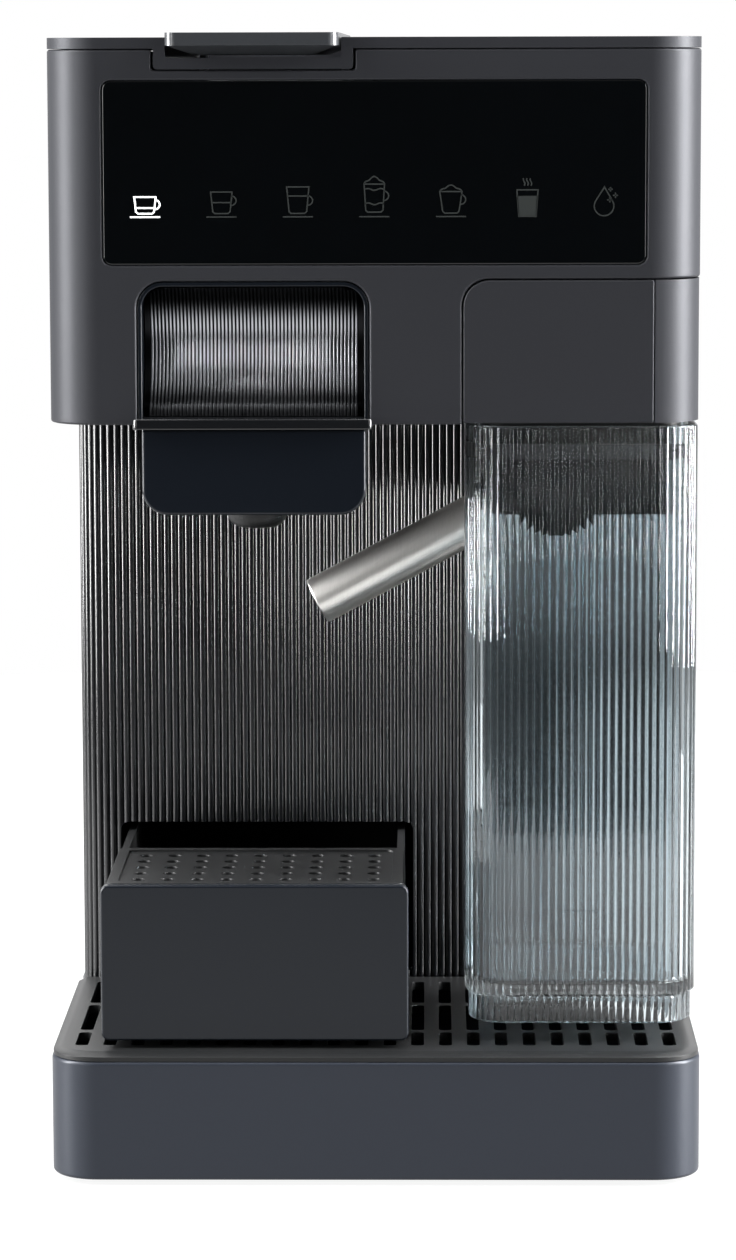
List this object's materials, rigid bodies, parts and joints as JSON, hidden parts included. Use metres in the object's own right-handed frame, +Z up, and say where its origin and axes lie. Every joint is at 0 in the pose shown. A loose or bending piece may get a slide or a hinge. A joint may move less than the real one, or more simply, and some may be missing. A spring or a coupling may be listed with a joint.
{
  "type": "pod coffee machine",
  "caption": "Capsule coffee machine with top lever, touch panel, capsule drawer that doubles as a cup stand, slotted drip tray, clear milk jug with steel spout and rear water tank.",
  "frame": {"origin": "middle of the footprint on the surface that the machine stands on", "axes": "+X to the right seen from the front, +Y to the back, +Z up"},
  "size_m": [0.176, 0.34, 0.3089],
  "materials": {
    "casing_graphite": "satin metallic graphite paint on moulded ABS",
    "base_slate": "satin blue-grey paint on moulded ABS",
    "black_moulding": "fine-textured moulded black ABS",
    "gloss_black": "polished moulded black ABS",
    "touch_glass": "black-printed flat glass",
    "light_guide": "diffusing white polycarbonate",
    "circuit_board": "solder-masked board",
    "plated_steel": "zinc-plated pressed steel",
    "steel_tube": "brushed stainless steel",
    "cast_aluminium": "die cast",
    "pump_body": "lacquered coil housing",
    "clear_plastic": "clear moulded copolyester",
    "silicone": "moulded silicone",
    "cage_plastic": "glass-filled nylon"
  },
  "bodies": {
    "root": {"chassis_base": "black_moulding", "rubber_feet": "silicone", "column_casing": "black_moulding", "rib_panel": "gloss_black", "drawer_bay": "black_moulding", "casing_screws": "plated_steel", "cord_gland": "black_moulding", "head_shell": "casing_graphite", "milk_dock": "black_moulding", "head_underside": "black_moulding", "top_lid": "casing_graphite", "display_glass": "touch_glass", "icon_light_guides": "light_guide", "display_board": "circuit_board", "arch_trim": "black_moulding", "lever_pin": "plated_steel", "brew_frame": "plated_steel", "pierce_plate": "plated_steel", "coffee_channel": "silicone", "capsule_chute": "black_moulding", "pump": "pump_body", "pump_mounts": "silicone", "thermoblock": "cast_aluminium", "flow_meter": "black_moulding", "steam_valve": "plated_steel", "steam_port": "cast_aluminium", "main_board": "circuit_board", "hose_tank_to_meter": "silicone", "hose_meter_to_pump": "silicone", "hose_pump_to_heater": "silicone", "hose_heater_to_brew": "silicone", "hose_heater_to_steam": "silicone", "tank_seat": "black_moulding"},
    "outlet_unit": {"scoop_panel": "gloss_black", "finger_ledge": "casing_graphite", "nose_cover": "casing_graphite", "outlet_dome": "gloss_black"},
    "lever": {"lever_handle": "gloss_black", "lever_cams": "plated_steel"},
    "piston": {"brew_piston": "cage_plastic", "piston_seal": "silicone", "follower_pin": "plated_steel"},
    "drawer": {"drawer_bin": "black_moulding", "drawer_front": "base_slate", "cup_plate": "black_moulding"},
    "tray": {"drip_tray": "base_slate", "drip_grid": "black_moulding"},
    "milk_unit": {"milk_container": "clear_plastic", "milk_head_casing": "casing_graphite", "milk_head_front": "casing_graphite", "milk_head_core": "black_moulding", "milk_gasket": "silicone", "milk_suction_tube": "clear_plastic"},
    "spout": {"milk_spout": "steel_tube", "spout_knuckle": "black_moulding"},
    "tank": {"water_tank": "clear_plastic", "tank_valve": "black_moulding"},
    "tank_lid": {"tank_lid": "black_moulding"}
  },
  "joints": [
    {"name": "lever_lift", "type": "hinge", "parent": "root", "child": "lever", "pos_m": [-0.0323, 0.006, 0.292], "axis": [-1, 0, 0], "range_deg": [0, 80]},
    {"name": "piston_slide", "type": "slide", "parent": "root", "child": "piston", "axis": [0, -1, 0], "range_m": [0, 0.031]},
    {"name": "outlet_pull", "type": "slide", "parent": "root", "child": "outlet_unit", "axis": [0, -1, 0], "range_m": [0, 0.04]},
    {"name": "drawer_slide", "type": "slide", "parent": "root", "child": "drawer", "axis": [0, 1, 0], "range_m": [-0.07, 0.095]},
    {"name": "tray_slide", "type": "slide", "parent": "root", "child": "tray", "axis": [0, -1, 0], "range_m": [0, 0.1]},
    {"name": "milk_unit_slide", "type": "slide", "parent": "root", "child": "milk_unit", "axis": [0, -1, 0], "range_m": [0, 0.09]},
    {"name": "spout_swivel", "type": "hinge", "parent": "milk_unit", "child": "spout", "pos_m": [0.05, -0.086, 0.1848], "axis": [0, 1, 0], "range_deg": [-40, 12]},
    {"name": "tank_lift", "type": "slide", "parent": "root", "child": "tank", "axis": [0, 0, 1], "range_m": [0, 0.3]},
    {"name": "tank_lid_hinge", "type": "hinge", "parent": "tank", "child": "tank_lid", "pos_m": [0, 0.16695, 0.29815], "axis": [-1, 0, 0], "range_deg": [0, 100]}
  ],
  "couplings": [
    {"joint": "piston_slide", "follows": "lever_lift", "m_per_rad": 0.021486}
  ]
}
